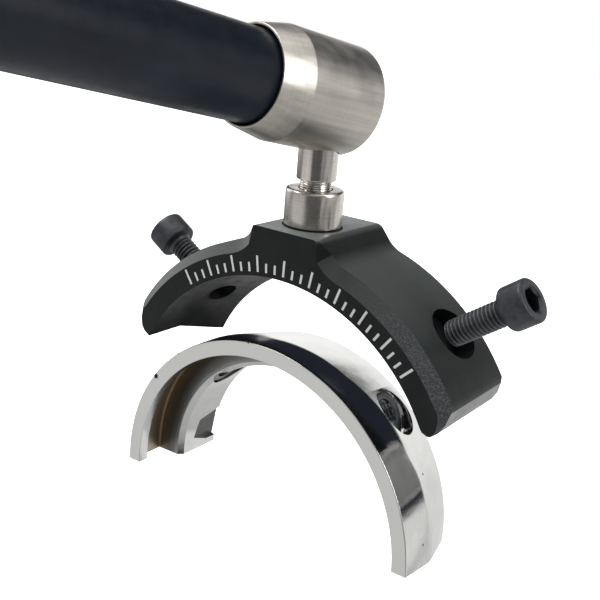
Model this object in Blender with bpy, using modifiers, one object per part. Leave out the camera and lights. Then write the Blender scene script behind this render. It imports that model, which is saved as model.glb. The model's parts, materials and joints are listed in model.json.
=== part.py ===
"""Tow bar with a swivelling handle and a two-piece clamp head.

World frame: origin on the clamp bore's axis at the middle of the saddle's width, X to the right, Y to the
back, Z up through the swivel post. Everything is in metres; MM turns millimetres into metres.
"""

import math

import bmesh
import bpy
from mathutils import Matrix, Vector

MM = 0.001
GAP = 0.3  # clearance between neighbouring pieces, mm
MERGE = 0.00001  # merge distance of the Screw modifiers, m

# saddle (mm, degrees)
SADDLE_WIDTH = 25.5
BORE_RADIUS = 44.0
BORE_STRAIGHT = 11.0  # length of the bore's straight part from the front face
BORE_TAPER = 0.25  # radius lost per mm of depth behind it
SADDLE_RADIUS = 51.7
EDGE_CHAMFER = 2.6  # front edge of the arch
PLATEAU_Z = 54.9
PLATEAU_HALF = 7.6
CORNER_RADIUS = 2.6  # at the plateau's edge
FILLET_RADIUS = 8.0  # between the plateau's shoulder and the arch
SHOULDER_SLOPE = 50.0
FILLET_END_ANGLE = 17.0
LEG_END_ANGLE = 57.6
FRONT_Y = -SADDLE_WIDTH / 2
BACK_Y = SADDLE_WIDTH / 2

# swivel (mm)
POST_Y = -2.2
POST_RADIUS = 4.45
POST_BOTTOM_Z = 65.4
POST_TOP_Z = 88.0
SPIGOT_RADIUS = 3.55
SPIGOT_BOTTOM_Z = 48.0
COLLAR_RADIUS = 6.55
COLLAR_TOP_Z = 63.4
BUSH_RADIUS = 5.0
PIVOT_SEAT_Z = 48.0  # ceiling of the counterbore that opens into the clamp bore
PIVOT_THREAD = 2.0
SEAL_FLOOR_Z = 54.0

# socket and bar: distances run along the bar's axis from the post's axis (mm)
BAR_ORIGIN_Z = 83.56
BAR_SWING = 10.6  # degrees to the left of straight ahead
BAR_RISE = 11.0  # degrees above level
SOCKET_RADIUS = 12.0
SOCKET_REAR = -6.9
SOCKET_MOUTH = 21.86
SOCKET_CONE_START = 14.36
SOCKET_RIM_RADIUS = 10.7
SOCKET_BORE_RADIUS = 9.96
SOCKET_BORE_FLOOR = 7.7
TUBE_RADIUS = 9.525
TUBE_INNER_RADIUS = 7.9
TUBE_START = SOCKET_BORE_FLOOR + GAP
TUBE_END = 600.0
GRIP_LENGTH = 118.0
GRIP_RADIUS = 15.0
GRIP_RINGS = 7

# clamp screws: both axes cross at one point above the bore's axis (mm, degrees)
SCREW_Y = 3.5
SCREW_MEET_Z = 12.1
SCREW_RIGHT = {"side": "right", "angle": 54.0, "seat": 57.65, "counterbore": 38.5}
SCREW_LEFT = {"side": "left", "angle": -58.5, "seat": 53.4, "counterbore": 39.3}
SCREW_LENGTH = 15.0
SCREW_THREAD = 3.0
SCREW_HEAD_RADIUS = 4.9
SCREW_HEAD_HEIGHT = 6.1
SCREW_HEX = 5.0  # across the flats
SCREW_HOLE = 3.4
COUNTERBORE_RADIUS = 6.1

# clamp ring (mm, degrees), closed against the saddle; it is drawn where it sits after sliding out
RING_RADIUS = 43.7
RING_WIDTH = 24.2
RING_STRAIGHT = 10.45
RING_FRONT_Y = -12.45
RING_LIP_RADIUS = 39.85
RING_LIP_WIDTH = 3.0
RING_GROOVE_RADIUS = 42.4
RING_GROOVE_END = 10.3
RING_INNER_RADIUS = 34.3
RING_TURN = -2.0  # the half ring spans 90 degrees each side of this
RING_END_TILT = {"left": 0.0, "right": 7.0}  # how far each end face leans from the ring's axis
RING_TRAVEL = Vector((-6.93, 5.19, -18.75))
RING_HOLE_RADIUS = 5.3
INSERT_RADIUS = 5.0
INSERT_BORE = 3.3
INSERT_START = {"right": 27.0, "left": 27.9}
INSERT_LENGTH = 4.4

COLLECTION = "aircraft_tow_bar"


def clear_scene():
    for obj in list(bpy.data.objects):
        bpy.data.objects.remove(obj, do_unlink=True)


def new_collection(name):
    found = bpy.data.collections.new(name)
    bpy.context.scene.collection.children.link(found)
    return found


def material(name, colour, roughness, metallic):
    mat = bpy.data.materials.new(name)
    mat.use_nodes = True
    shader = mat.node_tree.nodes["Principled BSDF"]
    shader.inputs["Base Color"].default_value = (*colour, 1.0)
    shader.inputs["Roughness"].default_value = roughness
    shader.inputs["Metallic"].default_value = metallic
    return mat


def link(obj, collection, mat=None):
    collection.objects.link(obj)
    if mat:
        obj.data.materials.append(mat)
    return obj


def turned(name, profile, steps=40, closed=False):
    """A profile of (radius, height) in mm turned about local Z. It runs down its outer side."""
    mesh = bpy.data.meshes.new(name)
    points = [(r * MM, 0.0, h * MM) for r, h in profile]
    edges = [(i, i + 1) for i in range(len(points) - 1)]
    if closed:
        edges.append((len(points) - 1, 0))
    mesh.from_pydata(points, edges, [])
    obj = bpy.data.objects.new(name, mesh)
    screw = obj.modifiers.new("turn", "SCREW")
    screw.axis = "Z"
    screw.angle = math.tau
    screw.steps = steps
    screw.render_steps = steps
    screw.use_merge_vertices = True
    screw.merge_threshold = MERGE
    screw.use_normal_calculate = False
    screw.use_smooth_shade = True
    return obj


def rod(name, radius, low, high, steps=32):
    """A plain cutter cylinder along local Z."""
    return turned(name, [(0, high), (radius, high), (radius, low), (0, low)], steps)


def extruded(name, outline, y_low, y_high):
    """A flat outline of (x, z) points in mm, thick from y_low to y_high, as a mesh object."""
    curve = bpy.data.curves.new(name, "CURVE")
    curve.dimensions = "2D"
    curve.fill_mode = "BOTH"
    curve.extrude = (y_high - y_low) / 2 * MM
    spline = curve.splines.new("POLY")
    spline.points.add(len(outline) - 1)
    for point, (x, z) in zip(spline.points, outline):
        point.co = (x * MM, z * MM, 0.0, 1.0)
    spline.use_cyclic_u = True
    sketch = bpy.data.objects.new(name + "_sketch", curve)
    bpy.context.scene.collection.objects.link(sketch)
    graph = bpy.context.evaluated_depsgraph_get()
    mesh = bpy.data.meshes.new_from_object(sketch.evaluated_get(graph))
    bpy.data.objects.remove(sketch, do_unlink=True)
    stand = Matrix.Translation((0, (y_low + y_high) / 2 * MM, 0)) @ Matrix.Rotation(math.pi / 2, 4, "X")
    mesh.transform(stand)
    shell = bmesh.new()
    shell.from_mesh(mesh)
    bmesh.ops.remove_doubles(shell, verts=shell.verts, dist=MERGE)
    bmesh.ops.recalc_face_normals(shell, faces=shell.faces)
    shell.to_mesh(mesh)
    shell.free()
    return bpy.data.objects.new(name, mesh)


def block(name, size, location, rotation=None):
    """A box of the given size in mm, as a mesh object."""
    mesh = bpy.data.meshes.new(name)
    shell = bmesh.new()
    bmesh.ops.create_cube(shell, size=1.0)
    shell.to_mesh(mesh)
    shell.free()
    turn = rotation.to_4x4() if rotation else Matrix.Identity(4)
    mesh.transform(turn @ Matrix.Diagonal((*(s * MM for s in size), 1.0)))
    obj = bpy.data.objects.new(name, mesh)
    obj.location = Vector(location) * MM
    return obj


def hexagon(name, across_flats, low, high):
    """A six-sided key hole cutter along local Z."""
    mesh = bpy.data.meshes.new(name)
    shell = bmesh.new()
    radius = across_flats / math.sqrt(3) * MM
    bmesh.ops.create_cone(
        shell, cap_ends=True, segments=6, radius1=radius, radius2=radius, depth=(high - low) * MM
    )
    bmesh.ops.translate(shell, verts=shell.verts, vec=(0, 0, (low + high) / 2 * MM))
    shell.to_mesh(mesh)
    shell.free()
    return bpy.data.objects.new(name, mesh)


def along(obj, origin, axis):
    """Stands an object's local Z along axis, from a point in mm."""
    obj.matrix_world = frame_along(origin, axis)
    return obj


def frame_along(origin, axis):
    turn = Vector(axis).to_track_quat("Z", "Y").to_matrix().to_4x4()
    return Matrix.Translation(Vector(origin) * MM) @ turn


def cut(obj, cutter, cutters):
    link(cutter, cutters)
    cutter.hide_render = True
    cutter.display_type = "WIRE"
    boolean = obj.modifiers.new(cutter.name, "BOOLEAN")
    boolean.operation = "DIFFERENCE"
    boolean.object = cutter
    boolean.solver = "EXACT"


def smooth(obj, angle=35.0):
    obj.data.shade_smooth()
    obj.data.set_sharp_from_angle(angle=math.radians(angle))


def arc(radius, start, stop, steps, centre=(0.0, 0.0)):
    """Points (x, z) on a circle; angles in degrees from straight up, clockwise."""
    points = []
    for i in range(steps + 1):
        turn = math.radians(start + (stop - start) * i / steps)
        points.append((centre[0] + radius * math.sin(turn), centre[1] + radius * math.cos(turn)))
    return points


def saddle_half():
    """The right half of the saddle's outline, from the plateau's middle to the leg's inner corner."""
    corner = arc(CORNER_RADIUS, 0.0, SHOULDER_SLOPE, 4, (PLATEAU_HALF, PLATEAU_Z - CORNER_RADIUS))
    reach, turn = SADDLE_RADIUS + FILLET_RADIUS, math.radians(FILLET_END_ANGLE)
    middle = (reach * math.sin(turn), reach * math.cos(turn))
    fillet = arc(FILLET_RADIUS, 180.0 + SHOULDER_SLOPE, 180.0 + FILLET_END_ANGLE, 4, middle)
    arch = arc(SADDLE_RADIUS, FILLET_END_ANGLE + 2.5, LEG_END_ANGLE, 13)
    nose = [(43.7, 26.3), (43.2, 23.8), (42.1, 21.8), (40.9, 20.8), (39.2, 20.0), (37.2, 17.2), (36.0, 16.0)]
    return corner + fillet + arch + nose


def build_saddle(parts, cutters, mat):
    half = saddle_half()
    inside = arc(BORE_RADIUS - 8.0, 50.0, -50.0, 8)
    outline = half + inside + [(-x, z) for x, z in reversed(half)]
    saddle = link(extruded("saddle", outline, FRONT_Y, BACK_Y), parts, mat)
    over = 2.0
    straight_y = FRONT_Y + BORE_STRAIGHT
    back_radius = BORE_RADIUS - BORE_TAPER * (BACK_Y + over - straight_y)
    bore = turned(
        "bore_cutter",
        [
            (0, BACK_Y + over),
            (back_radius, BACK_Y + over),
            (BORE_RADIUS, straight_y),
            (BORE_RADIUS, FRONT_Y - over),
            (0, FRONT_Y - over),
        ],
        96,
    )
    cut(saddle, along(bore, (0, 0, 0), (0, 1, 0)), cutters)
    for side in (-1, 1):
        cut(saddle, edge_cutter(side), cutters)
    for screw in (SCREW_RIGHT, SCREW_LEFT):
        axis = screw_axis(screw)
        hole = rod("hole_cutter_" + screw["side"], SCREW_HOLE, 25.0, 60.0)
        cut(saddle, along(hole, screw_origin(), axis), cutters)
        seat = rod("seat_cutter_" + screw["side"], COUNTERBORE_RADIUS, screw["counterbore"], 60.0)
        cut(saddle, along(seat, screw_origin(), axis), cutters)
    pivot = turned(
        "pivot_cutter",
        [
            (0, 70.0),
            (COLLAR_RADIUS + GAP, 70.0),
            (COLLAR_RADIUS + GAP, SEAL_FLOOR_Z),
            (BUSH_RADIUS + GAP, SEAL_FLOOR_Z),
            (BUSH_RADIUS + GAP, PIVOT_SEAT_Z),
            (BUSH_RADIUS + 2 * GAP, PIVOT_SEAT_Z),
            (BUSH_RADIUS + 2 * GAP, 38.0),
            (0, 38.0),
        ],
        40,
    )
    cut(saddle, along(pivot, (0, POST_Y, 0), (0, 0, 1)), cutters)
    smooth(saddle)


def edge_cutter(side):
    """The front edge's chamfer on one leg, as part of a ring that starts beside the plateau."""
    low, high = FRONT_Y - 1.0, FRONT_Y + EDGE_CHAMFER + 1.5
    inner = SADDLE_RADIUS - EDGE_CHAMFER
    outline = [
        (SADDLE_RADIUS + 8.0, high),
        (SADDLE_RADIUS + 8.0, low),
        (inner + low - FRONT_Y, low),
        (inner + high - FRONT_Y, high),
    ]
    name = "chamfer_cutter_right" if side > 0 else "chamfer_cutter_left"
    ring = turned(name, outline, 96, closed=True)
    along(ring, (0, 0, 0), (0, 1, 0))
    lean = Matrix.Rotation(math.radians(-side * 45.0), 3, "Z")
    centre = Vector((side * 14.2, FRONT_Y, 30.0)) + lean @ Vector((side * 40.0, 0.0, 0.0))
    keep = block(name + "_part", (80.0, 120.0, 120.0), centre, lean)
    ring.modifiers.new("part", "BOOLEAN")
    ring.modifiers["part"].operation = "INTERSECT"
    ring.modifiers["part"].object = keep
    ring.modifiers["part"].solver = "EXACT"
    bpy.data.collections["cutters"].objects.link(keep)
    keep.hide_render = True
    keep.display_type = "WIRE"
    return ring


def screw_origin():
    return (0.0, SCREW_Y, SCREW_MEET_Z)


def screw_axis(screw):
    turn = math.radians(screw["angle"])
    return Vector((math.sin(turn), 0.0, math.cos(turn)))


def bar_origin():
    return (0.0, POST_Y, BAR_ORIGIN_Z)


def bar_axis():
    swing, rise = math.radians(BAR_SWING), math.radians(BAR_RISE)
    return Vector((-math.sin(swing) * math.cos(rise), -math.cos(swing) * math.cos(rise), math.sin(rise)))


def build_stud(parts, cutters, steel, dark, bronze):
    """Collar, its seal, the bush, the post with its spigot, and the washer and screw that hold it."""
    at = (0, POST_Y, 0)
    collar = [
        (BUSH_RADIUS + GAP, PLATEAU_Z + GAP),
        (BUSH_RADIUS + GAP, COLLAR_TOP_Z - 1.5),
        (SPIGOT_RADIUS + GAP, COLLAR_TOP_Z - 1.5),
        (SPIGOT_RADIUS + GAP, COLLAR_TOP_Z),
        (COLLAR_RADIUS - 0.7, COLLAR_TOP_Z),
        (COLLAR_RADIUS, COLLAR_TOP_Z - 0.7),
        (COLLAR_RADIUS, PLATEAU_Z + GAP),
    ]
    pieces = [along(turned("collar", collar, closed=True), at, (0, 0, 1))]
    link(pieces[0], parts, steel)
    seal = [
        (BUSH_RADIUS + 2 * GAP, SEAL_FLOOR_Z + GAP),
        (BUSH_RADIUS + 2 * GAP, PLATEAU_Z),
        (COLLAR_RADIUS, PLATEAU_Z),
        (COLLAR_RADIUS, SEAL_FLOOR_Z + GAP),
    ]
    pieces.append(along(turned("collar_seal", seal, closed=True), at, (0, 0, 1)))
    link(pieces[1], parts, dark)
    bush = [
        (SPIGOT_RADIUS + GAP, PIVOT_SEAT_Z + GAP),
        (SPIGOT_RADIUS + GAP, COLLAR_TOP_Z - 1.5 - GAP),
        (BUSH_RADIUS, COLLAR_TOP_Z - 1.5 - GAP),
        (BUSH_RADIUS, PIVOT_SEAT_Z + GAP),
    ]
    pieces.append(along(turned("swivel_bush", bush, closed=True), at, (0, 0, 1)))
    link(pieces[2], parts, bronze)
    hole = PIVOT_THREAD + GAP
    post = [
        (0, POST_TOP_Z),
        (POST_RADIUS - 0.5, POST_TOP_Z),
        (POST_RADIUS, POST_TOP_Z - 0.5),
        (POST_RADIUS, POST_BOTTOM_Z + 0.6),
        (POST_RADIUS - 0.6, POST_BOTTOM_Z),
        (SPIGOT_RADIUS, POST_BOTTOM_Z),
        (SPIGOT_RADIUS, SPIGOT_BOTTOM_Z + 0.3),
        (SPIGOT_RADIUS - 0.3, SPIGOT_BOTTOM_Z),
        (hole, SPIGOT_BOTTOM_Z),
        (hole, SPIGOT_BOTTOM_Z + 8.0),
        (0, SPIGOT_BOTTOM_Z + 8.0),
    ]
    post_obj = link(along(turned("swivel_post", post), at, (0, 0, 1)), parts, steel)
    dimple = rod("dimple_cutter", 2.3, -8.0, -2.9, 24)
    cut(post_obj, along(dimple, bar_origin(), bar_axis()), cutters)
    washer_top = PIVOT_SEAT_Z - GAP
    washer = [
        (hole, washer_top - 0.7),
        (hole, washer_top),
        (BUSH_RADIUS + 0.2, washer_top),
        (BUSH_RADIUS + 0.2, washer_top - 0.7),
    ]
    washer_obj = link(along(turned("pivot_washer", washer, 32, closed=True), at, (0, 0, 1)), parts, steel)
    head_top = washer_top - 0.7 - GAP
    screw = [
        (0, head_top + 7.0),
        (PIVOT_THREAD - 0.3, head_top + 7.0),
        (PIVOT_THREAD, head_top + 6.7),
        (PIVOT_THREAD, head_top),
        (4.6, head_top),
        (4.8, head_top - 0.2),
        (4.8, head_top - 1.6),
        (4.0, head_top - 2.3),
        (0, head_top - 2.3),
    ]
    screw_obj = link(along(turned("pivot_screw", screw, 32), at, (0, 0, 1)), parts, dark)
    key = hexagon("pivot_key_cutter", 2.5, head_top - 4.0, head_top - 0.9)
    cut(screw_obj, along(key, at, (0, 0, 1)), cutters)
    return [post_obj, washer_obj, screw_obj]


def build_socket(parts, cutters, steel, dark):
    rear = SOCKET_REAR
    profile = [
        (0, SOCKET_BORE_FLOOR),
        (SOCKET_BORE_RADIUS, SOCKET_BORE_FLOOR),
        (SOCKET_BORE_RADIUS, SOCKET_MOUTH - 0.3),
        (SOCKET_BORE_RADIUS + 0.3, SOCKET_MOUTH),
        (SOCKET_RIM_RADIUS - 0.2, SOCKET_MOUTH),
        (SOCKET_RIM_RADIUS, SOCKET_MOUTH - 0.2),
        (SOCKET_RADIUS, SOCKET_CONE_START),
        (SOCKET_RADIUS, rear + 1.3),
        (SOCKET_RADIUS - 0.4, rear + 0.4),
        (SOCKET_RADIUS - 1.3, rear),
        (0, rear),
    ]
    socket = link(along(turned("socket", profile, 48), bar_origin(), bar_axis()), parts, steel)
    post_hole = rod("post_hole_cutter", POST_RADIUS + GAP, 60.0, POST_TOP_Z + GAP)
    cut(socket, along(post_hole, (0, POST_Y, 0), (0, 0, 1)), cutters)
    grub_hole = rod("grub_hole_cutter", 2.3, rear - 2.0, 0.0, 24)
    cut(socket, along(grub_hole, bar_origin(), bar_axis()), cutters)
    grub = [(0, rear + 3.7), (1.3, rear + 3.7), (2.0, rear + 3.0), (2.0, rear + GAP), (0, rear + GAP)]
    grub_obj = link(along(turned("post_set_screw", grub, 24), bar_origin(), bar_axis()), parts, dark)
    key = hexagon("grub_key_cutter", 2.0, rear - 1.0, rear + 1.6)
    cut(grub_obj, along(key, bar_origin(), bar_axis()), cutters)
    smooth(socket)
    return [socket, grub_obj]


def ring_profile(inner, outer, low, high, break_edge=0.0):
    """A closed ring's profile with its outer edges broken."""
    return [
        (inner, low),
        (inner, high),
        (outer - break_edge, high),
        (outer, high - break_edge),
        (outer, low + break_edge),
        (outer - break_edge, low),
    ]


def grip_profile():
    """A rubber sleeve with shallow waves between its rings."""
    low, high = TUBE_END - GRIP_LENGTH, TUBE_END
    inner = TUBE_RADIUS + GAP
    points = [(inner, low), (inner, high), (GRIP_RADIUS - 1.5, high), (GRIP_RADIUS, high - 1.5)]
    pitch = (GRIP_LENGTH - 6.0) / GRIP_RINGS
    for i in range(GRIP_RINGS):
        top = high - 3.0 - i * pitch
        points.append((GRIP_RADIUS, top - 1.0))
        points.append((GRIP_RADIUS - 1.2, top - pitch / 2))
        points.append((GRIP_RADIUS, top - pitch + 1.0))
    return points + [(GRIP_RADIUS, low + 1.5), (GRIP_RADIUS - 1.5, low)]


def build_bar(parts, cutters, mats):
    """Tube, the sleeve inside its lower end, the grip and what closes the far end."""
    thread, plug_radius = 3.0, TUBE_INNER_RADIUS - GAP
    tube = [
        (TUBE_INNER_RADIUS, TUBE_START),
        (TUBE_INNER_RADIUS, TUBE_END),
        (TUBE_RADIUS, TUBE_END),
        (TUBE_RADIUS, TUBE_START),
    ]
    insert = [(6.2, TUBE_START + 0.5), (6.2, 60.0), (plug_radius, 60.0), (plug_radius, TUBE_START + 0.5)]
    collar_high = TUBE_END - GRIP_LENGTH - GAP
    collar = ring_profile(TUBE_RADIUS + GAP, 13.5, collar_high - 8.0, collar_high, 0.8)
    plug = [
        (0, TUBE_END - 24.0),
        (thread + GAP, TUBE_END - 24.0),
        (thread + GAP, TUBE_END),
        (plug_radius, TUBE_END),
        (plug_radius, TUBE_END - 26.0),
        (0, TUBE_END - 26.0),
    ]
    cap_low, cap_high = TUBE_END + GAP, TUBE_END + 9.0
    head_radius, head_seat = 5.2, cap_high - 4.0
    cap = [
        (thread + GAP, cap_low),
        (thread + GAP, head_seat),
        (head_radius + GAP, head_seat),
        (head_radius + GAP, cap_high),
        (GRIP_RADIUS - 2.5, cap_high),
        (GRIP_RADIUS, cap_high - 2.5),
        (GRIP_RADIUS, cap_low),
    ]
    head_low = head_seat + GAP
    screw = [
        (0, head_low + 3.2),
        (head_radius - 1.2, head_low + 3.2),
        (head_radius, head_low + 2.0),
        (head_radius, head_low),
        (thread, head_low),
        (thread, head_low - 18.0),
        (0, head_low - 18.0),
    ]
    rows = (
        ("bar_tube", tube, 48, True, mats["black_tube"]),
        ("tube_insert", insert, 32, True, mats["aluminium"]),
        ("grip_collar", collar, 40, True, mats["aluminium"]),
        ("grip_sleeve", grip_profile(), 40, True, mats["rubber"]),
        ("end_plug", plug, 32, False, mats["aluminium"]),
        ("end_cap", cap, 40, True, mats["aluminium"]),
        ("end_cap_screw", screw, 32, False, mats["dark_steel"]),
    )
    made = []
    for name, profile, steps, closed, mat in rows:
        obj = along(turned(name, profile, steps, closed), bar_origin(), bar_axis())
        made.append(link(obj, parts, mat))
    key = hexagon("cap_key_cutter", 4.0, head_low + 1.2, head_low + 5.0)
    cut(made[-1], along(key, bar_origin(), bar_axis()), cutters)
    return made


def build_clamp_screw(screw, parts, cutters, mat):
    seat = screw["seat"]
    top = seat + SCREW_HEAD_HEIGHT
    tip = seat - SCREW_LENGTH
    profile = [
        (0, top),
        (SCREW_HEAD_RADIUS - 0.5, top),
        (SCREW_HEAD_RADIUS, top - 0.5),
        (SCREW_HEAD_RADIUS, seat + 0.1),
        (SCREW_HEAD_RADIUS - 0.1, seat),
        (SCREW_THREAD, seat),
        (SCREW_THREAD, tip + 0.6),
        (SCREW_THREAD - 0.6, tip),
        (0, tip),
    ]
    name = "clamp_screw_" + screw["side"]
    obj = along(turned(name, profile, 36), screw_origin(), screw_axis(screw))
    link(obj, parts, mat)
    key = hexagon("key_cutter_" + screw["side"], SCREW_HEX, top - 3.2, top + 1.0)
    cut(obj, along(key, screw_origin(), screw_axis(screw)), cutters)
    return obj


def build_clamp_ring(parts, cutters, chrome, dark):
    """The half ring, turned, halved and drilled where it closes, then moved out along its travel."""
    back_radius = RING_RADIUS - BORE_TAPER * (RING_WIDTH - RING_STRAIGHT)
    edge = 1.3
    profile = [
        (back_radius, RING_WIDTH),
        (RING_RADIUS, RING_STRAIGHT),
        (RING_RADIUS, 0),
        (RING_LIP_RADIUS, 0),
        (RING_LIP_RADIUS, RING_LIP_WIDTH),
        (RING_GROOVE_RADIUS, RING_LIP_WIDTH),
        (RING_GROOVE_RADIUS, RING_GROOVE_END),
        (RING_INNER_RADIUS + edge, RING_GROOVE_END),
        (RING_INNER_RADIUS, RING_GROOVE_END + edge),
        (RING_INNER_RADIUS, RING_WIDTH),
    ]
    out = RING_TRAVEL
    ring = turned("clamp_ring", profile, 96, closed=True)
    along(ring, Vector((0, RING_FRONT_Y, 0)) + out, (0, 1, 0))
    link(ring, parts, chrome)
    front = out + Vector((0, RING_FRONT_Y, 0))
    for side, tilt in RING_END_TILT.items():
        reach = 50.0 if side == "right" else -50.0
        lean = Matrix.Rotation(math.radians(RING_TURN), 3, "Y")
        lean = lean @ Matrix.Rotation(math.radians(-tilt), 3, "X")
        centre = front + lean @ Vector((reach, 0, -60.0))
        cut(ring, block("ring_end_cutter_" + side, (100.0, 120.0, 120.0), centre, lean), cutters)
    made = [ring]
    for screw in (SCREW_RIGHT, SCREW_LEFT):
        side = screw["side"]
        origin = Vector(screw_origin()) + out
        hole = rod("ring_hole_cutter_" + side, RING_HOLE_RADIUS, 20.0, 50.0, 36)
        cut(ring, along(hole, origin, screw_axis(screw)), cutters)
        low = INSERT_START[side]
        insert = [
            (INSERT_BORE, low),
            (INSERT_BORE, low + INSERT_LENGTH),
            (INSERT_RADIUS, low + INSERT_LENGTH),
            (INSERT_RADIUS, low),
        ]
        obj = along(turned("thread_insert_" + side, insert, 36, closed=True), origin, screw_axis(screw))
        made.append(link(obj, parts, dark))
    smooth(ring)
    return made


def hang(children, name, location, parts):
    """Parents moving pieces to an empty on their joint's axis, without moving them."""
    empty = bpy.data.objects.new(name, None)
    empty.location = Vector(location) * MM
    parts.objects.link(empty)
    bpy.context.view_layer.update()
    for child in children:
        place = child.matrix_world.copy()
        child.parent = empty
        child.matrix_parent_inverse = empty.matrix_world.inverted()
        child.matrix_world = place


def main():
    clear_scene()
    parts = new_collection(COLLECTION)
    cutters = new_collection("cutters")
    mats = {
        "black_anodised": material("black_anodised", (0.02, 0.023, 0.024), 0.42, 0.5),
        "black_tube": material("black_tube", (0.012, 0.014, 0.02), 0.35, 0.3),
        "steel": material("satin_steel", (0.56, 0.54, 0.51), 0.28, 1.0),
        "dark_steel": material("dark_steel", (0.03, 0.03, 0.032), 0.45, 0.8),
        "black_seal": material("black_seal", (0.01, 0.01, 0.01), 0.7, 0.0),
        "chrome": material("polished_ring", (0.85, 0.85, 0.84), 0.08, 1.0),
        "bronze": material("bronze", (0.45, 0.28, 0.12), 0.35, 1.0),
        "aluminium": material("aluminium", (0.6, 0.61, 0.62), 0.35, 1.0),
        "rubber": material("rubber", (0.02, 0.02, 0.02), 0.8, 0.0),
    }
    build_saddle(parts, cutters, mats["black_anodised"])
    moving = build_stud(parts, cutters, mats["steel"], mats["black_seal"], mats["bronze"])
    moving += build_socket(parts, cutters, mats["steel"], mats["dark_steel"])
    moving += build_bar(parts, cutters, mats)
    hang(moving, "bar_pivot", (0, POST_Y, PLATEAU_Z), parts)
    ring = build_clamp_ring(parts, cutters, mats["chrome"], mats["dark_steel"])
    hang(ring, "ring_travel", RING_TRAVEL, parts)
    for screw in (SCREW_RIGHT, SCREW_LEFT):
        obj = build_clamp_screw(screw, parts, cutters, mats["dark_steel"])
        reach = Vector(screw_origin()) + screw_axis(screw) * screw["seat"]
        hang([obj], "screw_axis_" + screw["side"], reach, parts)


main()
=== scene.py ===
"""Looks for the aircraft tow bar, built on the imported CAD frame.

Metres, +Z up, with the clamp's bore along Y and its front at low Y. MM turns millimetres into metres.
"""

import json
import math

import bmesh
import bpy
from mathutils import Matrix, Vector


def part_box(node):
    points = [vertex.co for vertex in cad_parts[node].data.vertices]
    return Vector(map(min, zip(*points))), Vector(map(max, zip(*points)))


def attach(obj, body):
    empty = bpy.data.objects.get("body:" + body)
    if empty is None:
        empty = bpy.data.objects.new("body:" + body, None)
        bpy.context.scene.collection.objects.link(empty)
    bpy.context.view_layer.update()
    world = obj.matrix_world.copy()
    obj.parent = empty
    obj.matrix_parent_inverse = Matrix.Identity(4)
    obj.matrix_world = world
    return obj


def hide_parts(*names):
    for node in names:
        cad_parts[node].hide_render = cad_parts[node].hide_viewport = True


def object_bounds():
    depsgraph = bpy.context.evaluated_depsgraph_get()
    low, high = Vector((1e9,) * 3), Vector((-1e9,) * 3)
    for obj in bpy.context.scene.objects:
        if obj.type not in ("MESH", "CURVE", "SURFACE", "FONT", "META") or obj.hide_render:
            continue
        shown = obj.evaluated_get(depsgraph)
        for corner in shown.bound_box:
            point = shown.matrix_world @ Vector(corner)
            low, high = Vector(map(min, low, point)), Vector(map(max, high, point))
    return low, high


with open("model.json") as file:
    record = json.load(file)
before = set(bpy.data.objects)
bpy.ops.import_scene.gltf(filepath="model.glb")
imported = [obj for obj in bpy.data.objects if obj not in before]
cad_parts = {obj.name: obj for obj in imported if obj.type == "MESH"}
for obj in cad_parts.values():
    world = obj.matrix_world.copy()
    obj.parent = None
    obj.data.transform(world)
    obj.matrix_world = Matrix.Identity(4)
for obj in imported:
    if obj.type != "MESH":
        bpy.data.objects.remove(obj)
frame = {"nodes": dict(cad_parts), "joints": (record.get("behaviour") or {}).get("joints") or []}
CAD_LOW, CAD_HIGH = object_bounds()

MM = 0.001
JOINTS = {joint["name"]: joint for joint in frame["joints"]}


def box_centre(node):
    low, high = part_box(node)
    return (Vector(low) + Vector(high)) / 2 / MM


# ------------------------ places, in mm, read from the frame
POST_AT = Vector(JOINTS["bar_swivel"]["pos_m"]) / MM
BAR_AXIS = (box_centre("grip_collar") - box_centre("bar_tube")).normalized()
SADDLE_LOW, SADDLE_HIGH = (Vector(corner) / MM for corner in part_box("saddle"))
RING_OUT = -Vector(JOINTS["ring_travel"]["axis"]).normalized() * JOINTS["ring_travel"]["range_m"][1] / MM
SCREW_AXES = {
    "right": -Vector(JOINTS["screw_right_travel"]["axis"]).normalized(),
    "left": -Vector(JOINTS["screw_left_travel"]["axis"]).normalized(),
}


def bar_point():
    """The point where the bar's axis crosses the post's axis."""
    middle = box_centre("bar_tube")
    reach = (middle.y - POST_AT.y) / BAR_AXIS.y
    return middle - BAR_AXIS * reach


BAR_AT = bar_point()

# ------------------------ dimensions, in mm, that the frame's boxes lack
BORE_RADIUS = 44.0
BORE_STRAIGHT = 11.0
TAPER = 0.25  # radius lost per mm of depth, in the bore and on the ring
SADDLE_RADIUS = 51.7
EDGE_CHAMFER = 2.6
PLATEAU_HALF = 7.6
CORNER_RADIUS = 2.6
FILLET_RADIUS = 8.0
SHOULDER_SLOPE = 50.0
FILLET_END_ANGLE = 17.0  # degrees from straight up, as all angles round the bore
LEG_END_ANGLE = 57.6
NOSE_TOP = 27.6  # height where a leg's end begins
LEG_NOSE = [  # (x, z) or (x, z, fillet), from the outside to the bore
    (43.7, NOSE_TOP),
    (43.7, 26.3, 1.0),
    (43.2, 23.8),
    (42.1, 21.8, 1.2),
    (40.9, 20.8),
    (39.2, 20.0, 1.0),
]
LEG_TIP = [(37.2, 17.2), (36.0, 16.0)]  # inside the bore, which cuts it off
LEG_CORNER = (40.3, 23.25)  # middle of the rounding where the bore meets the right leg's end
LEG_CORNER_LEAN = 18.9
LEG_ROUND = 2.5
LEG_ROUND_FADE = 11.0  # degrees; the rounding runs out this steeply behind the front face
COUNTERBORE = {"right": 38.5, "left": 39.3}  # its floor, along the screw's axis from SCREW_MEET
COUNTERBORE_RADIUS = 6.1
SCREW_HOLE_RADIUS = 3.4
SCREW_MEET = Vector((0.0, 3.5, 12.1))  # where the two screw axes cross
SCREW_SEAT = {"right": 57.65, "left": 53.4}  # the underside of the head, along its axis
SCREW_LENGTH = 15.0
SCREW_RADIUS = 3.0
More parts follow.
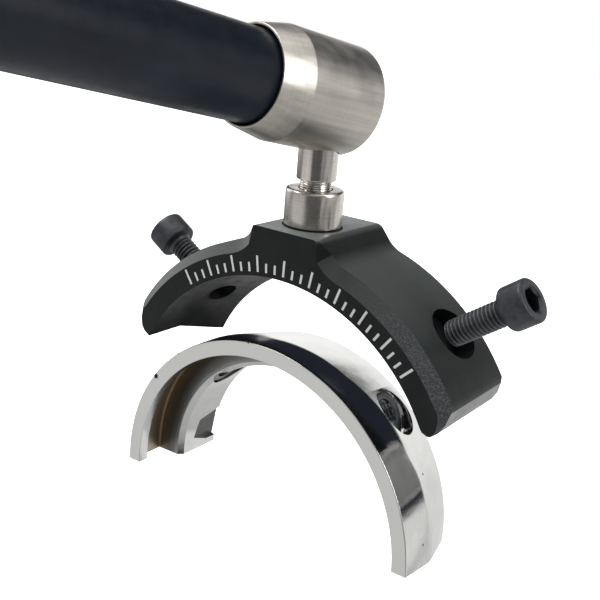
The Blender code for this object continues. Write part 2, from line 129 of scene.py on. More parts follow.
SCREW_CONE = 0.4  # height of the small cone under the head
HEAD_RADIUS = 4.9
HEAD_HEIGHT = 6.1
HEAD_HEX = 5.0  # across its flats
HEX_DEPTH = 4.0
THREAD_PITCH = 1.0
THREAD_DEPTH = 0.5
BUSH_RADIUS = 5.3
COLLAR_RADIUS = 6.55
COLLAR_TOP = 63.4  # Z
POST_RADIUS = 4.45
NECK_RADIUS = 3.55
POST_BOTTOM = 65.4  # Z, where the post narrows to its neck
POST_TOP = 88.0  # Z, inside the socket
SOCKET_RADIUS = 12.0
SOCKET_REAR = -6.9  # this and what follows lie along the bar's axis from the post's
SOCKET_MOUTH = 21.86
SOCKET_CONE_START = 14.36
SOCKET_BORE = 9.96
TUBE_RADIUS = 9.525
TUBE_END = 600.0
GRIP_START = 482.0
GRIP_RADIUS = 15.0
GRIP_GAP = 0.3  # mm between the tube and what slides over it, and between the grip and its neighbours
STOP_RADIUS = 13.5
STOP_LENGTH = 8.0
CAP_LENGTH = 9.0
CAP_SEAT = 4.0  # how deep the cap screw's head lies
RING_RADIUS = 43.7
RING_WIDTH = 24.2
RING_STRAIGHT = 10.45
RING_LIP = 39.85  # this, the groove and the inner face are radii
RING_GROOVE = 42.4
RING_INNER = 34.3
RING_STEP = 10.3  # depth from the ring's front
RING_STEP_EDGE = 1.3  # the bevel between the step and the inside
RING_LIP_DEPTH = 3.0
RING_TURN = -2.0  # the half ring spans 90 degrees each side of this
RING_END_TILT = {"left": 0.0, "right": 7.0}  # degrees by which an end face leans from front to back
RING_MOUTH_SHIFT = 0.5  # the right hole's countersink lies this far down the ring from the hole
RING_SEATED_FRONT = -12.45  # Y, when the ring is up in the saddle
RING_FRONT = RING_SEATED_FRONT + RING_OUT.y
RING_HOLE = 5.3
RING_NICKS = [  # (radius, degrees from straight up, depth from the front, size)
    (43.1, -53.7, 0.0, 1.0),
    (43.7, -38.7, 0.0, 0.5),
    (43.7, -6.7, 0.2, 0.5),
    (43.6, 81.7, 7.6, 0.45),
    (43.5, 62.0, 13.0, 0.6),
    (43.5, 61.2, 14.2, 0.6),
    (43.7, -8.0, 10.0, 0.4),
]
POCKET_ANGLE = -80.5  # degrees from straight up
POCKET_Y = 20.0  # from the ring's front
POCKET_DEPTH = 0.75
POCKET_OUTLINE = [(4.9, 6.2), (2.3, -3.4), (-3.2, -4.6), (-5.1, 0.6), (-5.1, 6.2)]
INSERT_RADIUS = 5.0
INSERT_BORE = 3.3
INSERT_START = {"right": 27.0, "left": 27.9}  # its inner end, along the screw's axis
INSERT_LENGTH = 4.4


# ------------------------ mesh tools
def made(name, shell):
    mesh = bpy.data.meshes.new(name)
    shell.to_mesh(mesh)
    shell.free()
    obj = bpy.data.objects.new(name, mesh)
    bpy.context.scene.collection.objects.link(obj)
    return obj


def rounded(points, steps=3):
    """Rounds the corners of a profile. A point is (radius, height) or (radius, height, fillet)."""
    most = 0.45  # of a side's length, for one fillet
    smooth = []
    count = len(points)
    for i, point in enumerate(points):
        here = Vector(point[:2])
        if len(point) < 3:
            smooth.append(tuple(here))
            continue
        before = Vector(points[i - 1][:2]) - here
        after = Vector(points[(i + 1) % count][:2]) - here
        turn = before.angle(after)
        reach = min(point[2] / math.tan(turn / 2), most * before.length, most * after.length)
        one, two = here + before.normalized() * reach, here + after.normalized() * reach
        for k in range(steps + 1):
            t = k / steps
            smooth.append(tuple(one * (1 - t) ** 2 + here * (2 * t * (1 - t)) + two * t**2))
    return smooth


def turned(name, profile, steps=96, closed=False, span=None, shape=None):
    """A profile of (radius, height) in mm turned about local Z; it runs down its outer side.

    span is (start, stop) in degrees for less than a full turn, with capped ends. shape(radius, height, angle)
    gives a point's own radius and height, for threads, knurls and wear.
    """
    shell = bmesh.new()
    whole = span is None
    first, last = (0.0, 360.0) if whole else span
    columns = steps if whole else steps + 1
    rings = []
    for radius, height in profile:
        if radius == 0.0 and whole:
            rings.append([shell.verts.new((0.0, 0.0, height * MM))])
            continue
        ring = []
        for k in range(columns):
            angle = math.radians(first + (last - first) * k / steps)
            r, h = shape(radius, height, angle) if shape else (radius, height)
            ring.append(shell.verts.new((r * math.cos(angle) * MM, r * math.sin(angle) * MM, h * MM)))
        rings.append(ring)
    pairs = list(zip(rings, rings[1:]))
    if closed:
        pairs.append((rings[-1], rings[0]))
    for upper, lower in pairs:
        for k in range(steps):
            n = (k + 1) % columns
            near = [upper[k % len(upper)], lower[k % len(lower)]]
            square = near + [lower[n % len(lower)], upper[n % len(upper)]]
            corners = [corner for j, corner in enumerate(square) if corner not in square[:j]]
            if len(corners) > 2:
                shell.faces.new(corners)
    if not whole:
        shell.faces.new([ring[0] for ring in reversed(rings)])
        shell.faces.new([ring[-1] for ring in rings])
    return made(name, shell)


def prism(name, outline, low, high, chamfer):
    """A flat outline of (x, z) points in mm, clockwise from the front, thick from y = low to y = high.

    chamfer(x, z) gives the width of the front edge's chamfer at a point of the outline.
    """
    shell = bmesh.new()
    count = len(outline)
    front, rim, back = [], [], []
    for i, (x, z) in enumerate(outline):
        before, after = Vector(outline[i - 1]), Vector(outline[(i + 1) % count])
        along = (after - before).normalized()
        cut = chamfer(x, z)
        inward = Vector((-along.y, along.x)) * -cut
        front.append(shell.verts.new(((x + inward.x) * MM, low * MM, (z + inward.y) * MM)))
        rim.append(shell.verts.new((x * MM, (low + cut) * MM, z * MM)) if cut else front[-1])
        back.append(shell.verts.new((x * MM, high * MM, z * MM)))
    shell.faces.new(front)
    shell.faces.new(reversed(back))
    for i in range(count):
        n = (i + 1) % count
        shell.faces.new((rim[n], rim[i], back[i], back[n]))
        slant = [front[n], front[i]] + [v for v in (rim[i], rim[n]) if v not in (front[i], front[n])]
        if len(slant) > 2:
            shell.faces.new(slant)
    bmesh.ops.recalc_face_normals(shell, faces=shell.faces)
    return made(name, shell)


def box(name, size, centre, turn=None):
    shell = bmesh.new()
    bmesh.ops.create_cube(shell, size=1.0)
    shape = Matrix.Diagonal((*(side * MM for side in size), 1.0))
    spin = turn.to_4x4() if turn else Matrix.Identity(4)
    place = Matrix.Translation(Vector(centre) * MM)
    bmesh.ops.transform(shell, verts=shell.verts, matrix=place @ spin @ shape)
    return made(name, shell)


def drill(name, radius, low, high, steps=72):
    """A round cutter along local Z."""
    return turned(name, [(0.0, high), (radius, high), (radius, low), (0.0, low)], steps)


def stand(obj, origin, axis):
    """Stands an object's local Z along axis, from a point in mm."""
    turn = Vector(axis).to_track_quat("Z", "Y").to_matrix().to_4x4()
    obj.matrix_world = Matrix.Translation(Vector(origin) * MM) @ turn
    return obj


def lay(obj, origin=(0.0, 0.0, 0.0)):
    """Lays an object's local Z along +Y, with local X along +X, from a point in mm."""
    obj.matrix_world = Matrix.Translation(Vector(origin) * MM) @ Matrix.Rotation(-math.pi / 2, 4, "X")
    return obj


def bake(obj):
    """Applies the modifiers."""
    graph = bpy.context.evaluated_depsgraph_get()
    mesh = bpy.data.meshes.new_from_object(obj.evaluated_get(graph))
    obj.modifiers.clear()
    obj.data = mesh


def carve(obj, cutter):
    """Cuts the cutter's shape out of obj and drops the cutter."""
    boolean = obj.modifiers.new("carve", "BOOLEAN")
    boolean.operation = "DIFFERENCE"
    boolean.solver = "EXACT"
    boolean.object = cutter
    bpy.context.view_layer.update()
    bake(obj)
    bpy.data.objects.remove(cutter, do_unlink=True)


def soften(obj, width=0.25, segments=2, angle=35.0):
    """Rounds the sharp edges by width mm and shades the rest smooth."""
    obj.data.shade_smooth()
    obj.data.set_sharp_from_angle(angle=math.radians(angle))
    if width:
        bevel = obj.modifiers.new("edges", "BEVEL")
        bevel.width = width * MM
        bevel.segments = segments
        bevel.limit_method = "ANGLE"
        bevel.angle_limit = math.radians(angle)
        bevel.harden_normals = True
    return obj


def paint(obj, mat):
    obj.data.materials.clear()
    obj.data.materials.append(mat)


def finish_piece(obj, body, mat, *nodes, slot):
    """Puts a piece on its body, in place of the CAD nodes that it stands for."""
    paint(obj, mat)
    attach(obj, body)
    if nodes:
        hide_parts(*nodes)


def arc(radius, start, stop, steps, centre=(0.0, 0.0)):
    """Points (x, z) on a circle; angles in degrees from straight up, clockwise."""
    turns = [math.radians(start + (stop - start) * k / steps) for k in range(steps + 1)]
    return [(centre[0] + radius * math.sin(t), centre[1] + radius * math.cos(t)) for t in turns]


def clamp(value, low=0.0, high=1.0):
    return max(low, min(high, value))


# ------------------------ materials
class Look:
    """A node material: add() makes a node and sets or links its inputs; the rest are short ways to use it."""

    def __init__(self, name):
        self.mat = bpy.data.materials.new(name)
        self.mat.use_nodes = True
        self.tree = self.mat.node_tree
        self.shader = self.tree.nodes["Principled BSDF"]
        self.place = self.add("ShaderNodeTexCoord").outputs["Object"]

    def add(self, kind, settings=None, **inputs):
        """An input goes by its label, or by i and its number."""
        made_node = self.tree.nodes.new(kind)
        for key, value in (settings or {}).items():
            setattr(made_node, key, value)
        for key, value in inputs.items():
            self.feed(made_node.inputs[int(key[1:]) if key[1:].isdigit() else key.replace("_", " ")], value)
        return made_node

    def feed(self, socket, value):
        if isinstance(value, bpy.types.Node):
            value = value.outputs[0]
        if isinstance(value, bpy.types.NodeSocket):
            self.tree.links.new(value, socket)
        else:
            socket.default_value = value

    def math(self, operation, a, b=0.0, c=0.0):
        return self.add("ShaderNodeMath", {"operation": operation}, i0=a, i1=b, i2=c).outputs[0]

    def times(self, first, *others):
        for other in others:
            first = self.math("MULTIPLY", first, other)
        return first

    def split(self):
        return self.add("ShaderNodeSeparateXYZ", Vector=self.place).outputs

    def noise_at(self, place, scale, detail, rough):
        inputs = {"Vector": place, "Scale": scale, "Detail": detail, "Roughness": rough}
        return self.add("ShaderNodeTexNoise", **inputs).outputs["Fac"]

    def noise(self, per_mm, detail=4.0, rough=0.55):
        """Noise in object coordinates, with one frequency per mm or (x, y, z)."""
        rates = per_mm if isinstance(per_mm, tuple) else (per_mm,) * 3
        scale = [rate / MM for rate in rates]
        place = self.add("ShaderNodeVectorMath", {"operation": "MULTIPLY"}, i0=self.place, i1=scale)
        return self.noise_at(place, 1.0, detail, rough)

    def swept(self, polar, rates, scale, detail, rough):
        """Noise in around()'s coordinates, each times its own rate."""
        place = self.combine(*(self.math("MULTIPLY", value, rate) for value, rate in zip(polar, rates)))
        return self.noise_at(place, scale, detail, rough)

    def ramp(self, fac, stops):
        """stops are (position, colour or value)."""
        made_node = self.add("ShaderNodeValToRGB", Fac=fac)
        marks = made_node.color_ramp.elements
        while len(marks) < len(stops):
            marks.new(0.5)
        for mark, (position, colour) in zip(marks, stops):
            mark.position = position
            mark.color = (*colour, 1.0) if isinstance(colour, tuple) else (colour, colour, colour, 1.0)
        return made_node.outputs["Color"]

    def band(self, value, low, high):
        """0 below low, 1 above high, and a straight line between."""
        made_node = self.add("ShaderNodeMapRange", {"clamp": True}, Value=value)
        made_node.inputs["From Min"].default_value = low
        made_node.inputs["From Max"].default_value = high
        return made_node.outputs[0]

    def mix(self, fac, a, b):
        made_node = self.add("ShaderNodeMix", {"data_type": "RGBA"})
        self.feed(made_node.inputs["Factor"], fac)
        for socket, value in ((made_node.inputs["A"], a), (made_node.inputs["B"], b)):
            self.feed(socket, (*value, 1.0) if isinstance(value, tuple) else value)
        return made_node.outputs["Result"]

    def mix_value(self, fac, a, b):
        made_node = self.add("ShaderNodeMix", {"data_type": "FLOAT"})
        self.feed(made_node.inputs["Factor"], fac)
        self.feed(made_node.inputs["A"], a)
        self.feed(made_node.inputs["B"], b)
        return made_node.outputs["Result"]

    def around(self):
        """(angle / tau, distance from the axis in mm, height in mm) about local Z."""
        x, y, z = self.split()
        turn = self.math("DIVIDE", self.math("ARCTAN2", y, x), math.tau)
        flat = self.math("SQRT", self.math("ADD", self.times(x, x), self.times(y, y)))
        return turn, self.math("DIVIDE", flat, MM), self.math("DIVIDE", z, MM)

    def combine(self, x, y, z):
        return self.add("ShaderNodeCombineXYZ", X=x, Y=y, Z=z).outputs[0]

    def bump(self, height, strength, distance):
        """distance is in mm."""
        made_node = self.add("ShaderNodeBump", Height=height, Strength=strength, Distance=distance * MM)
        self.feed(self.shader.inputs["Normal"], made_node)

    def set(self, **inputs):
        for key, value in inputs.items():
            value = (*value, 1.0) if isinstance(value, tuple) else value
            self.feed(self.shader.inputs[key.replace("_", " ")], value)


class Sky(Look):
    """The same tools on the world's nodes; place is the direction looked in."""

    def __init__(self, name):
        world = bpy.data.worlds.new(name)
        bpy.context.scene.world = world
        world.use_nodes = True
        self.tree = world.node_tree
        self.tree.nodes.clear()
        self.place = self.add("ShaderNodeTexCoord").outputs["Generated"]

    def heights(self, up, stops):
        """Brightness by height; stops are (degrees above the horizon, brightness up to 2)."""
        fac = self.math("MULTIPLY_ADD", up, 1.0 / 180.0, 0.5)
        ramp = self.ramp(fac, [((degrees + 90.0) / 180.0, value / 2.0) for degrees, value in stops])
        return self.math("MULTIPLY", ramp, 2.0)

    def window(self, across, up, rise, fall, stops):
        """heights() between two bearings, with soft sides."""
        inside = self.times(self.band(across, *rise), self.band(across, fall[1], fall[0]))
        return self.times(inside, self.heights(up, stops))


def anodised(name, base, cloud_base, roughness, grain=5.0, level=0.3, painted_top_light=False):
    """Matt black anodising: blasted grain and faint cloudiness. Its last flag lightens the faces that look
    up, as painted light from above.
    """
    look = Look(name)
    cloud = look.ramp(look.noise(0.12, 5.0), [(0.35, 0.0), (0.7, 1.0)])
    colour = look.mix(cloud, base, cloud_base)
    if painted_top_light:
        # painted light: faces that look up are lightened, most on the flattest tops
        facing = look.add("ShaderNodeTexCoord").outputs["Normal"]
        upward = look.add("ShaderNodeSeparateXYZ", Vector=facing).outputs["Z"]
        worn = look.ramp(upward, [(0.62, 0.0), (0.8, 0.03), (0.95, 0.06), (0.99, 0.07), (1.0, 0.16)])
        tint = (0.93, 1.0, 0.97)
        colour = look.add("ShaderNodeVectorMath", {"operation": "MULTIPLY_ADD"}, i0=worn, i1=tint, i2=colour)
    patches = look.band(look.noise(0.4, 5.0), 0.3, 0.7)
    rough = look.mix_value(patches, roughness - 0.05, roughness + 0.07)
    look.set(Base_Color=colour, Roughness=rough, Metallic=0.0, Specular_IOR_Level=level)
    look.bump(look.noise(grain, 3.0, 0.7), 0.25, 0.02)
    return look.mat


def worn_chamfer(name):
    """The saddle's cut front edge: black, with grey specks low on the right where the coating is thin."""
    look = Look(name)
    fine = look.noise(2.6, 6.0, 0.75)
    place = look.split()
    thin = look.times(look.band(place["X"], 0.0, 0.03), look.band(place["Z"], 0.052, 0.036))
    specks = look.times(look.ramp(fine, [(0.46, 0.0), (0.62, 1.0)]), thin)
    colour = look.mix(specks, (0.016, 0.018, 0.019), (0.065, 0.07, 0.073))
    rough = look.mix_value(specks, 0.38, 0.55)
    look.set(Base_Color=colour, Roughness=rough, Metallic=0.2)
    look.bump(fine, 0.3, 0.05)
    return look.mat


def turned_metal(name, base, dark, roughness, rings=0.6, streaks=0.5):
    """Turned metal: fine rings round local Z, and soft streaks along it."""
    look = Look(name)
    ring = look.swept(look.around(), (0.6, 0.3, 1.0), 5.0, 6.0, 0.75)
    streak = look.noise((0.9, 0.9, 0.04), 5.0, 0.65)
    blend = look.math("ADD", look.times(ring, rings), look.times(streak, streaks))
    blend = look.ramp(look.math("DIVIDE", blend, rings + streaks), [(0.3, 0.0), (0.62, 1.0)])
    smudge = look.band(look.noise(0.16), 0.3, 0.7)
    rough = look.mix_value(smudge, roughness - 0.05, roughness + 0.08)
    look.set(Base_Color=look.mix(blend, dark, base), Roughness=rough, Metallic=1.0)
    look.bump(ring, 0.15 * rings, 0.02)
    return look.mat


def black_screw(name, thread_radius, seat, top):
    """Black oxide steel, rubbed bright on the thread's crests, with painted shade in the hexagon recess."""
    look = Look(name)
    _, out, height = look.around()
    fine = look.noise(3.0, 5.0, 0.7)
    crest = look.band(out, thread_radius - 0.22, thread_radius - 0.02)
    worn = look.times(crest, look.math("LESS_THAN", height, seat), look.band(fine, 0.3, 0.6))
    cloud = look.band(look.noise(0.5), 0.35, 0.65)
    black = look.mix(cloud, (0.022, 0.024, 0.028), (0.045, 0.048, 0.055))
    within, outside = 2.9, 3.05  # mm from the axis, round the recess's corners
    # painted shade: the recess's walls and floor are coloured near black
    recess = look.times(look.band(out, outside, within), look.math("GREATER_THAN", height, seat))
    recess = look.times(recess, look.band(height, top - 0.3, top - 0.7))
    black = look.mix(recess, black, (0.011, 0.012, 0.014))
    colour = look.mix(worn, black, (0.14, 0.145, 0.15))
    look.set(Base_Color=colour, Roughness=look.mix_value(worn, 0.46, 0.3), Metallic=0.55)
    look.bump(fine, 0.2, 0.02)
    return look.mat


def rubber(name):
    look = Look(name)
    fine = look.noise(2.5, 6.0, 0.7)
    colour = look.mix(look.noise(0.1, 3.0), (0.012, 0.012, 0.013), (0.026, 0.026, 0.027))
    look.set(Base_Color=colour, Roughness=look.mix_value(fine, 0.6, 0.82), Metallic=0.0)
    look.bump(fine, 0.35, 0.06)
    return look.mat


def etched_paint(name):
    look = Look(name)
    fine = look.noise(4.0, 4.0, 0.7)
    look.set(Base_Color=look.mix(fine, (0.28, 0.28, 0.27), (0.5, 0.5, 0.49)), Roughness=0.6)
    look.bump(fine, 0.3, 0.02)
    return look.mat


def nick_painted_shade(look):
    """1 in the ring's small nicks, 0 elsewhere; the ring paints them near black as shade, with no dent in the
    mesh.
    """
    found = 0.0
    for radius, degrees, depth, size in RING_NICKS:
        at = math.radians(degrees)
        centre = (radius * math.sin(at) * MM, -radius * math.cos(at) * MM, depth * MM)
        away = look.add("ShaderNodeVectorMath", {"operation": "DISTANCE"}, i0=look.place, i1=centre)
        ragged = look.math("ADD", away.outputs["Value"], look.times(look.noise(1.5, 3.0), 0.5 * size * MM))
        found = look.math("MAXIMUM", look.band(ragged, 1.05 * size * MM, 0.8 * size * MM), found)
    return found


def groove_colour(look, polar):
    """The groove: a wall that browns towards the back, a step darkened by painted shade, and a copper line
    where they meet.
    """
    _, out, height = polar
    streak = look.swept(polar, (16.0, 1.3, 1.0), 1.0, 5.0, 0.7)
    ragged = 2.4  # mm by which the streaks shift the colours
    down = look.math("MULTIPLY_ADD", streak, ragged, look.math("SUBTRACT", height, ragged / 2))
    wall = [
        (0.0, (0.5, 0.5, 0.49)),
        (0.35, (0.45, 0.43, 0.38)),
        (0.7, (0.38, 0.31, 0.22)),
        (1.0, (0.3, 0.23, 0.15)),
    ]
    wall = look.ramp(look.band(down, RING_LIP_DEPTH, RING_STEP), wall)
    away = look.math("MULTIPLY_ADD", streak, ragged, look.math("SUBTRACT", out, ragged / 2))
    # painted shade over the front-facing step: darkest in its middle, less dark at its inner edge, browner at
    # the wall
    step = [
        (0.0, (0.34, 0.34, 0.34)),
        (0.2, (0.17, 0.17, 0.175)),
        (0.5, (0.12, 0.11, 0.095)),
        (1.0, (0.28, 0.21, 0.13)),
    ]
    step = look.ramp(look.band(away, RING_INNER + RING_STEP_EDGE, RING_GROOVE), step)
    colour = look.mix(look.band(height, RING_STEP - 0.2, RING_STEP - 0.1), wall, step)
    corner = look.times(look.band(height, RING_STEP - 0.5, RING_STEP - 0.35), look.band(out, 41.9, 42.05))
    return look.mix(corner, colour, (0.52, 0.44, 0.36))


def polished_ring(name):
    """Polished metal: satin front lip, hairline scratches, scuffs, small nicks painted near black as shade,
    and a stained groove with painted shade on its step.
    """
    look = Look(name)
    polar = look.around()
    _, out, height = polar
    cloud = look.noise(0.15, 5.0)
    wave = look.noise((0.22, 0.22, 0.1), 2.0, 0.5)
    hair = look.swept(polar, (6.0, 1.0, 9.0), 1.0, 6.0, 0.8)
    fine = look.swept(polar, (40.0, 1.0, 1.6), 1.6, 8.0, 0.8)
    outside = look.band(out, RING_GROOVE, RING_GROOVE + 0.3)
    scuffs = look.times(look.band(fine, 0.56, 0.7), outside, look.band(cloud, 0.42, 0.58))
    lip = look.times(look.band(height, 0.4, 0.1), look.band(out, RING_LIP - 0.1, RING_LIP))
    groove = look.times(
        look.band(height, RING_LIP_DEPTH, RING_LIP_DEPTH + 0.2),
        look.band(height, RING_STEP + 0.1, RING_STEP),
        look.band(out, RING_GROOVE + 0.2, RING_GROOVE + 0.1),
    )
    colour = look.mix(look.band(cloud, 0.3, 0.7), (0.52, 0.52, 0.515), (0.6, 0.6, 0.59))
    rough = look.mix_value(look.band(hair, 0.35, 0.75), 0.05, 0.11)
    layers = [  # (where, colour, roughness), each over the ones before
        (scuffs, (0.3, 0.31, 0.32), 0.35),
        (lip, (0.68, 0.68, 0.67), 0.28),
        (groove, groove_colour(look, polar), 0.4),
        # the nicks: painted shade, near black
        (nick_painted_shade(look), (0.02, 0.02, 0.022), 0.5),
    ]
    for where, tone, gloss in layers:
        colour = look.mix(where, colour, tone)
        rough = look.mix_value(where, rough, gloss)
    look.set(Base_Color=colour, Roughness=rough, Metallic=1.0)
    rise = look.math("MULTIPLY_ADD", fine, 0.16, look.times(hair, 0.02))
    look.bump(look.math("MULTIPLY_ADD", wave, 0.9, rise), 0.4, 0.13)
    return look.mat


# ------------------------ the saddle and what is fixed to it
def saddle_outline():
    """The saddle seen from the front, clockwise. It reaches into the bore, which is cut later."""
    corner = arc(CORNER_RADIUS, 0.0, SHOULDER_SLOPE, 8, (PLATEAU_HALF, SADDLE_HIGH.z - CORNER_RADIUS))
    reach, turn = SADDLE_RADIUS + FILLET_RADIUS, math.radians(FILLET_END_ANGLE)
    middle = (reach * math.sin(turn), reach * math.cos(turn))
    fillet = arc(FILLET_RADIUS, 180.0 + SHOULDER_SLOPE, 180.0 + FILLET_END_ANGLE, 10, middle)
    arch = arc(SADDLE_RADIUS, FILLET_END_ANGLE + 1.0, LEG_END_ANGLE, 40)
    nose = rounded(LEG_NOSE + LEG_TIP[:1])[1:]
    half = corner + fillet + arch + nose + LEG_TIP[1:]
    inside = arc(BORE_RADIUS - 8.0, 50.0, -50.0, 8)
    return half + inside + [(-x, z) for x, z in reversed(half)]


def chamfer_at(x, z):
    """How wide the front edge's chamfer is at a point: none on the plateau, and fading round a leg's end."""
    bare, blend = 0.8, 2.6  # mm beside the plateau with no chamfer, and mm over which it grows
    if z > NOSE_TOP:
        return EDGE_CHAMFER * clamp((abs(x) - PLATEAU_HALF - bare) / blend)
    gone, fade = 20.5, 7.1  # the height where it has gone, and mm over which it fades
    return EDGE_CHAMFER * clamp((z - gone) / fade) if abs(x) > 40.0 else 0.0


def cut_bore(saddle):
    """Straight at the front, then tapered to the back."""
    before, behind = SADDLE_LOW.y - 2.0, SADDLE_HIGH.y + 2.0
    straight = SADDLE_LOW.y + BORE_STRAIGHT
    bore = [
        (0.0, behind),
        (BORE_RADIUS - TAPER * (behind - straight), behind),
        (BORE_RADIUS, straight),
        (BORE_RADIUS, before),
        (0.0, before),
    ]
    carve(saddle, lay(turned("bore_cutter", bore, 288)))


def cut_screw_hole(saddle, side):
    """A counterbore from outside, and a clearance hole with a small chamfer at the seat."""
    outside, inside = 60.0, 25.0
    seat, chamfer = COUNTERBORE[side], 0.4
    steps = [
        (0.0, outside),
        (COUNTERBORE_RADIUS, outside),
        (COUNTERBORE_RADIUS, seat),
        (SCREW_HOLE_RADIUS + chamfer, seat),
        (SCREW_HOLE_RADIUS, seat - chamfer),
        (SCREW_HOLE_RADIUS, inside),
        (0.0, inside),
    ]
    carve(saddle, stand(turned("screw_cutter", steps, 96), SCREW_MEET, SCREW_AXES[side]))


def cut_pivot_hole(saddle):
    """Clears the collar and its seal, the bush, and the washer's seat below."""
    above, below = 70.0, 38.0
    seal_floor, pivot_seat = 54.0, 48.0
    clear = 0.3
    pivot = [
        (0.0, above),
        (COLLAR_RADIUS + clear, above),
        (COLLAR_RADIUS + clear, seal_floor),
        (BUSH_RADIUS, seal_floor),
        (BUSH_RADIUS, pivot_seat),
        (BUSH_RADIUS + clear, pivot_seat),
        (BUSH_RADIUS + clear, below),
        (0.0, below),
    ]
    carve(saddle, stand(turned("pivot_cutter", pivot, 96), (0.0, POST_AT.y, 0.0), (0, 0, 1)))


def round_leg(saddle):
    """Three cuts round off the right leg's corner at the bore."""
    width, length, height = 12.0, 40.0, 10.0
    corner = Vector((LEG_CORNER[0], SADDLE_LOW.y, LEG_CORNER[1]))
    for lean in (-32.0, 0.0, 32.0):
        turn = Matrix.Rotation(math.radians(LEG_CORNER_LEAN + lean), 3, "Y")
        turn = turn @ Matrix.Rotation(math.radians(-LEG_ROUND_FADE), 3, "X")
        middle = corner - turn @ Vector((0.0, 0.0, LEG_ROUND + height / 2))
        carve(saddle, box("leg_corner", (width, length, height), middle, turn))


def build_saddle():
    front, back = SADDLE_LOW.y, SADDLE_HIGH.y
    saddle = prism("saddle_body_machined", saddle_outline(), front, back, chamfer_at)
    cut_bore(saddle)
    for side in SCREW_AXES:
        cut_screw_hole(saddle, side)
    cut_pivot_hole(saddle)
    round_leg(saddle)
    soften(saddle, 0.3, 2, 33.0)
    dark, light = (0.002, 0.003, 0.0035), (0.005, 0.006, 0.0065)
    # the saddle's faces that look up get painted light from above
    black = anodised("black_anodised_saddle", dark, light, 0.38, level=0.2, painted_top_light=True)
    finish_piece(saddle, "saddle_body", black, "saddle", slot="black_anodised")
    # a lighter copy of the anodising for the legs' end faces: painted sheen
    thin = anodised("leg_end_painted_sheen", (0.1, 0.104, 0.102), (0.15, 0.154, 0.15), 0.4)
    saddle.data.materials.append(worn_chamfer("worn_chamfer"))
    saddle.data.materials.append(thin)
    mark_edges(saddle)


def mark_edges(saddle):
    """Gives the slanted front edge its own worn finish, and the legs' end faces a lighter copy of the
    anodising that paints on their sheen.
    """
    # material indices: the worn chamfer, and the legs' end faces with painted sheen
    worn, thin = 1, 2
    for face in saddle.data.polygons:
        centre, normal = face.center / MM, face.normal
        outward = normal.dot(Vector((centre.x, 0.0, centre.z)).normalized())
        slanted = -0.9 < normal.y < -0.3 and outward > 0.3
        facing_down = abs(normal.y) < 0.3 and normal.z < -0.15 and outward > -0.2
        if slanted and centre.y < SADDLE_LOW.y + EDGE_CHAMFER + 0.1:
            face.material_index = worn
        elif facing_down and centre.z < NOSE_TOP - 1.1:
            face.material_index = thin


def build_marks():
    """Plain engraved graduations round the saddle's front face, filled light grey."""
    first, last, step = -35.0, 46.0, 3.0  # degrees from straight up
    inner, width, thick, proud = 44.95, 0.55, 0.06, 0.005
    shell = bmesh.new()
    for k in range(int((last - first) / step) + 1):
        length = 3.7 if k % 3 == 0 else 2.1  # every third one is long
        spin = Matrix.Rotation(math.radians(first + k * step), 4, "Y")
        size = Matrix.Diagonal((width * MM, thick * MM, length * MM, 1.0))
        centre = Matrix.Translation((0.0, (SADDLE_LOW.y - proud) * MM, (inner + length / 2) * MM))
        bmesh.ops.create_cube(shell, size=1.0, matrix=spin @ centre @ size)
    marks = made("graduation_marks", shell)
    finish_piece(marks, "saddle_body", etched_paint("etched_marks"), slot="black_anodised")


def build_collar(steel):
    base, lip = SADDLE_HIGH.z + 0.3, COLLAR_TOP - 1.5
    mouth = NECK_RADIUS + 0.3
    collar = [
        (BUSH_RADIUS, base),
        (BUSH_RADIUS, lip),
        (mouth, lip),
        (mouth, COLLAR_TOP, 0.15),
        (COLLAR_RADIUS, COLLAR_TOP, 0.75),
        (COLLAR_RADIUS, base, 0.2),
    ]
    obj = turned("collar_turned", rounded(collar, 5), 128, closed=True)
    stand(obj, (0.0, POST_AT.y, 0.0), (0, 0, 1))
    finish_piece(soften(obj, 0.0), "saddle_body", steel, "collar", slot="steel")


def build_post(steel):
    """A post with fine ridges on its neck, and a hole from below for the pivot screw."""
    top, bottom = POST_TOP, 48.0
    ridge_pitch, ridge_depth = 0.45, 0.12
    screw_radius, screw_end = 2.3, 56.0
    neck = []
    height = POST_BOTTOM - 0.2
    while height > SADDLE_HIGH.z - 5.0:
        neck.append((NECK_RADIUS, height))
        neck.append((NECK_RADIUS - ridge_depth, height - ridge_pitch / 2))
        height -= ridge_pitch
    post = [(0.0, top), (POST_RADIUS, top, 0.5), (POST_RADIUS, POST_BOTTOM, 0.7), (NECK_RADIUS, POST_BOTTOM)]
    end = [(NECK_RADIUS, bottom + 0.3), (screw_radius, bottom), (screw_radius, screw_end), (0.0, screw_end)]
    obj = turned("swivel_post_turned", rounded(post, 4) + neck + end, 128)
    stand(obj, (0.0, POST_AT.y, 0.0), (0, 0, 1))
    finish_piece(soften(obj, 0.0), "bar_body", steel, "swivel_post", slot="steel")


